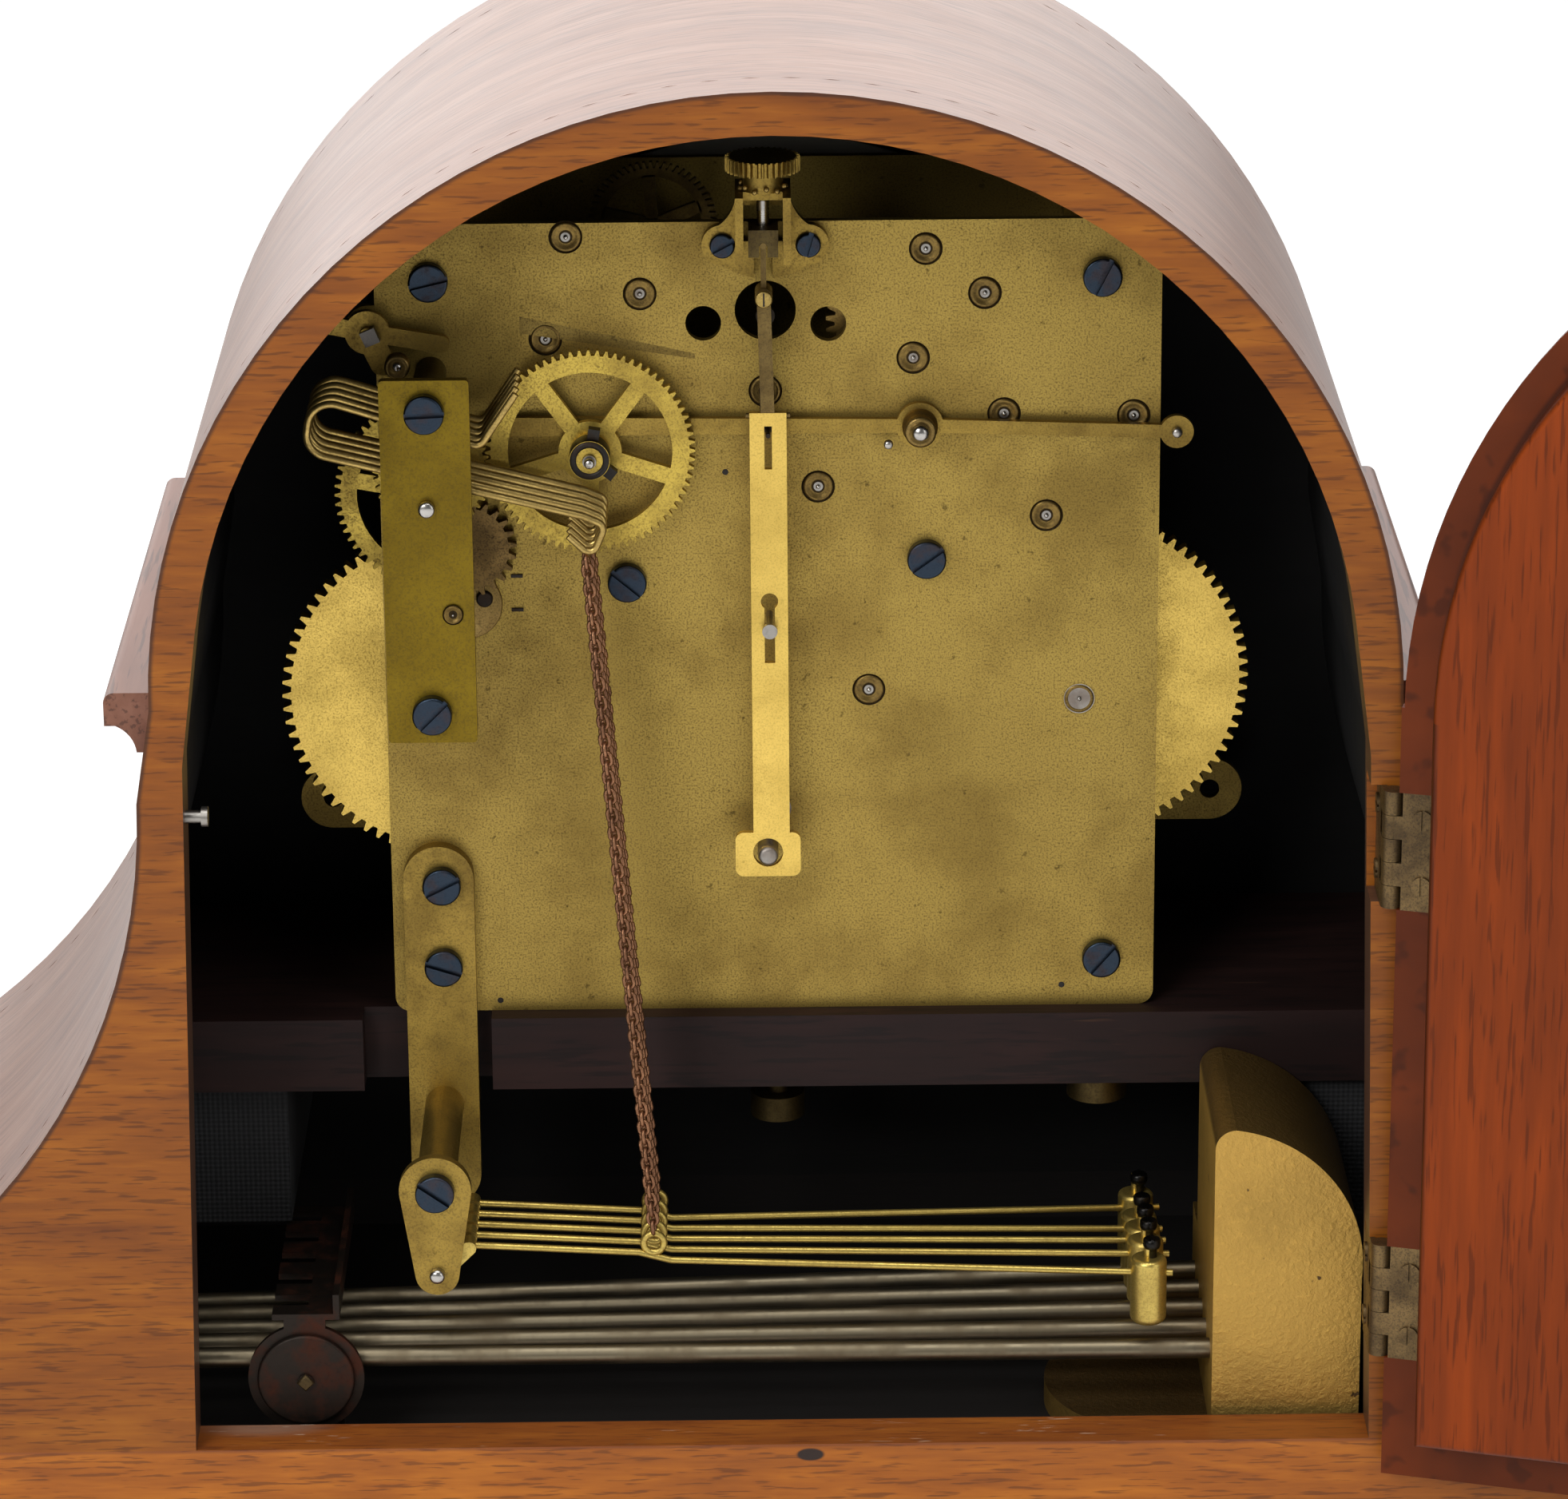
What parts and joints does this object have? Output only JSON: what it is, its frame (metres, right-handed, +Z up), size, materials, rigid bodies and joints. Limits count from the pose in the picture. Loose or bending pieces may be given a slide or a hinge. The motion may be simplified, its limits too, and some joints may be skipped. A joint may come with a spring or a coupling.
{
  "type": "tambour mantel clock",
  "caption": "Round-topped wooden mantel clock with swept shoulders, its back door open on a brass chiming movement, hammers, chains and chime rods.",
  "frame": {"origin": "centre of the base's underside, on the table", "axes": "+Z up, the dial looks along -Y, the back with its door along +Y, +X to the right of the dial's reader"},
  "size_m": [0.6095, 0.2337, 0.29],
  "materials": {
    "wood": "satin",
    "dark_wood": "satin",
    "cloth": "matt",
    "steel": "satin",
    "brass": "satin",
    "blued_steel": "gloss",
    "dial_face": "matt",
    "gold_paint": "satin",
    "clear_glass": "gloss",
    "copper": "satin"
  },
  "bodies": {
    "case": {"base_plinth": "dark_wood", "front_board": "wood", "back_board": "wood", "case_shell": "wood", "impost_mouldings": "wood", "seat_board": "dark_wood", "seat_cleats": "cloth", "latch_pin": "steel", "case_hinges": "brass", "dial": "dial_face", "front_plate": "brass", "back_plate": "brass", "plate_pillars": "brass", "movement_screws": "blued_steel", "steel_arbors": "steel", "drum_bridge": "brass", "suspension_bracket": "brass", "hammer_bracket": "brass", "link_plate": "brass", "gong_block": "gold_paint", "chime_rods": "steel", "comb_bracket": "blued_steel", "seat_bolts": "brass", "bezel_hinge": "brass"},
    "door": {"back_door": "wood", "door_hinges": "brass"},
    "bezel": {"bezel_ring": "brass", "bezel_glass": "clear_glass"},
    "hour": {"hour_hand": "blued_steel"},
    "minute": {"minute_hand": "blued_steel"},
    "nut": {"rate_nut": "brass"},
    "hanger": {"suspension_block": "brass"},
    "pendulum": {"suspension_rod": "steel", "pendulum_strip": "brass"},
    "crutch_body": {"crutch": "steel"},
    "chime_great": {"chime_great_wheel": "brass"},
    "strike_great": {"strike_great_wheel": "brass"},
    "time_great": {"time_great_wheel": "brass"},
    "spoked": {"spoked_wheel": "brass"},
    "drum": {"chime_drum": "brass"},
    "second": {"chime_second_wheel": "brass"},
    "idler": {"idler_gear": "blued_steel"},
    "long_lever_body": {"long_lever": "brass"},
    "three_arm": {"three_arm_lever": "brass"},
    "comb": {"comb_arm": "blued_steel"},
    "hammer_body_1": {"hammer_1": "brass"},
    "lifter_body_1": {"lifter_1": "steel"},
    "chain_body_1": {"chain_1": "copper"},
    "hammer_body_2": {"hammer_2": "brass"},
    "lifter_body_2": {"lifter_2": "steel"},
    "chain_body_2": {"chain_2": "copper"},
    "hammer_body_3": {"hammer_3": "brass"},
    "lifter_body_3": {"lifter_3": "steel"},
    "chain_body_3": {"chain_3": "copper"},
    "hammer_body_4": {"hammer_4": "brass"},
    "lifter_body_4": {"lifter_4": "steel"},
    "chain_body_4": {"chain_4": "copper"},
    "hammer_body_5": {"hammer_5": "brass"},
    "lifter_body_5": {"lifter_5": "steel"},
    "chain_body_5": {"chain_5": "copper"}
  },
  "joints": [
    {"name": "door_swing", "type": "hinge", "parent": "case", "child": "door", "pos_m": [-0.1134, 0.0722, 0.105], "axis": [0, 0, 1], "range_deg": [-163.4, 2]},
    {"name": "bezel_swing", "type": "hinge", "parent": "case", "child": "bezel", "pos_m": [0.086, -0.0725, 0.175], "axis": [0, 0, 1], "range_deg": [0, 110]},
    {"name": "minute_turn", "type": "hinge", "parent": "case", "child": "minute", "pos_m": [0, -0.06, 0.175], "axis": [0, 1, 0], "continuous": true},
    {"name": "hour_turn", "type": "hinge", "parent": "case", "child": "hour", "pos_m": [0, -0.059, 0.175], "axis": [0, 1, 0], "continuous": true},
    {"name": "rate_turn", "type": "hinge", "parent": "case", "child": "nut", "pos_m": [0.0015, 0.0185, 0.261], "axis": [0, 0, 1], "range_deg": [-360, 360]},
    {"name": "rate_slide", "type": "slide", "parent": "case", "child": "hanger", "axis": [0, 0, 1], "range_m": [-0.0005, 0.0005]},
    {"name": "pendulum_swing", "type": "hinge", "parent": "hanger", "child": "pendulum", "pos_m": [0.0015, 0.0185, 0.2492], "axis": [0, 1, 0], "range_deg": [-0.25, 0.25]},
    {"name": "crutch_swing", "type": "hinge", "parent": "case", "child": "crutch_body", "pos_m": [0.0012, 0.013, 0.2334], "axis": [0, 1, 0], "range_deg": [-0.45, 0.45]},
    {"name": "chime_great_turn", "type": "hinge", "parent": "case", "child": "chime_great", "pos_m": [0.0625, -0.005, 0.1525], "axis": [0, 1, 0], "continuous": true},
    {"name": "strike_great_turn", "type": "hinge", "parent": "case", "child": "strike_great", "pos_m": [-0.0589, -0.005, 0.155], "axis": [0, 1, 0], "continuous": true},
    {"name": "time_great_turn", "type": "hinge", "parent": "case", "child": "time_great", "pos_m": [0, -0.024, 0.133], "axis": [0, 1, 0], "continuous": true},
    {"name": "second_turn", "type": "hinge", "parent": "case", "child": "second", "pos_m": [0.0649, 0.003, 0.1959], "axis": [0, 1, 0], "continuous": true},
    {"name": "drum_turn", "type": "hinge", "parent": "case", "child": "drum", "pos_m": [0.0648, 0.015, 0.2034], "axis": [0, 1, 0], "continuous": true},
    {"name": "spoked_turn", "type": "hinge", "parent": "case", "child": "spoked", "pos_m": [0.0347, 0.014, 0.2073], "axis": [0, 1, 0], "continuous": true},
    {"name": "idler_turn", "type": "hinge", "parent": "case", "child": "idler", "pos_m": [0.0589, 0.012, 0.1874], "axis": [0, 1, 0], "continuous": true},
    {"name": "long_lever_turn", "type": "hinge", "parent": "case", "child": "long_lever_body", "pos_m": [-0.028, 0.012, 0.2111], "axis": [0, 1, 0], "range_deg": [-2, 0.5]},
    {"name": "three_arm_turn", "type": "hinge", "parent": "case", "child": "three_arm", "pos_m": [0.0764, 0.013, 0.2308], "axis": [0, 1, 0], "range_deg": [-5, 5]},
    {"name": "comb_turn", "type": "hinge", "parent": "case", "child": "comb", "pos_m": [0.0918, 0.055, 0.0335], "axis": [0, 1, 0], "range_deg": [0, 24]},
    {"name": "hammer_1_lift", "type": "hinge", "parent": "case", "child": "hammer_body_1", "pos_m": [0.0659, 0.05, 0.0553], "axis": [0, 1, 0], "range_deg": [-0.2, 2.6]},
    {"name": "lifter_1_turn", "type": "hinge", "parent": "case", "child": "lifter_body_1", "pos_m": [0.0685, 0.0334, 0.2135], "axis": [0, 1, 0], "range_deg": [-0.4, 3.6]},
    {"name": "chain_1_turn", "type": "hinge", "parent": "lifter_body_1", "child": "chain_body_1", "pos_m": [0.0352, 0.0334, 0.1913], "axis": [0, 1, 0], "range_deg": [-4.3, 0.5]},
    {"name": "hammer_2_lift", "type": "hinge", "parent": "case", "child": "hammer_body_2", "pos_m": [0.0659, 0.045, 0.0553], "axis": [0, 1, 0], "range_deg": [-0.2, 2.6]},
    {"name": "lifter_2_turn", "type": "hinge", "parent": "case", "child": "lifter_body_2", "pos_m": [0.0685, 0.0292, 0.2135], "axis": [0, 1, 0], "range_deg": [-0.4, 3.6]},
    {"name": "chain_2_turn", "type": "hinge", "parent": "lifter_body_2", "child": "chain_body_2", "pos_m": [0.0352, 0.0292, 0.1913], "axis": [0, 1, 0], "range_deg": [-4.3, 0.5]},
    {"name": "hammer_3_lift", "type": "hinge", "parent": "case", "child": "hammer_body_3", "pos_m": [0.0659, 0.04, 0.0553], "axis": [0, 1, 0], "range_deg": [-0.2, 2.6]},
    {"name": "lifter_3_turn", "type": "hinge", "parent": "case", "child": "lifter_body_3", "pos_m": [0.0685, 0.025, 0.2135], "axis": [0, 1, 0], "range_deg": [-0.4, 3.6]},
    {"name": "chain_3_turn", "type": "hinge", "parent": "lifter_body_3", "child": "chain_body_3", "pos_m": [0.0352, 0.025, 0.1913], "axis": [0, 1, 0], "range_deg": [-4.3, 0.5]},
    {"name": "hammer_4_lift", "type": "hinge", "parent": "case", "child": "hammer_body_4", "pos_m": [0.0659, 0.035, 0.0553], "axis": [0, 1, 0], "range_deg": [-0.2, 2.6]},
    {"name": "lifter_4_turn", "type": "hinge", "parent": "case", "child": "lifter_body_4", "pos_m": [0.0685, 0.0208, 0.2135], "axis": [0, 1, 0], "range_deg": [-0.4, 3.6]},
    {"name": "chain_4_turn", "type": "hinge", "parent": "lifter_body_4", "child": "chain_body_4", "pos_m": [0.0352, 0.0208, 0.1913], "axis": [0, 1, 0], "range_deg": [-4.3, 0.5]},
    {"name": "hammer_5_lift", "type": "hinge", "parent": "case", "child": "hammer_body_5", "pos_m": [0.0659, 0.03, 0.0553], "axis": [0, 1, 0], "range_deg": [-0.2, 2.6]},
    {"name": "lifter_5_turn", "type": "hinge", "parent": "case", "child": "lifter_body_5", "pos_m": [0.0685, 0.0166, 0.2135], "axis": [0, 1, 0], "range_deg": [-0.4, 3.6]},
    {"name": "chain_5_turn", "type": "hinge", "parent": "lifter_body_5", "child": "chain_body_5", "pos_m": [0.0352, 0.0166, 0.1913], "axis": [0, 1, 0], "range_deg": [-4.3, 0.5]}
  ],
  "couplings": [
    {"joint": "hour_turn", "follows": "minute_turn", "ratio": 0.083333},
    {"joint": "rate_turn", "follows": "rate_slide", "rad_per_m": 12560},
    {"joint": "crutch_swing", "follows": "pendulum_swing", "ratio": 1.7182},
    {"joint": "second_turn", "follows": "chime_great_turn", "ratio": -3.1667},
    {"joint": "spoked_turn", "follows": "drum_turn", "ratio": -0.55556},
    {"joint": "idler_turn", "follows": "drum_turn", "ratio": -0.875},
    {"joint": "lifter_1_turn", "follows": "hammer_1_lift", "ratio": 1.3374},
    {"joint": "chain_1_turn", "follows": "hammer_1_lift", "ratio": -1.6183},
    {"joint": "lifter_2_turn", "follows": "hammer_2_lift", "ratio": 1.3374},
    {"joint": "chain_2_turn", "follows": "hammer_2_lift", "ratio": -1.6183},
    {"joint": "lifter_3_turn", "follows": "hammer_3_lift", "ratio": 1.3374},
    {"joint": "chain_3_turn", "follows": "hammer_3_lift", "ratio": -1.6183},
    {"joint": "lifter_4_turn", "follows": "hammer_4_lift", "ratio": 1.3374},
    {"joint": "chain_4_turn", "follows": "hammer_4_lift", "ratio": -1.6183},
    {"joint": "lifter_5_turn", "follows": "hammer_5_lift", "ratio": 1.3374},
    {"joint": "chain_5_turn", "follows": "hammer_5_lift", "ratio": -1.6183}
  ]
}
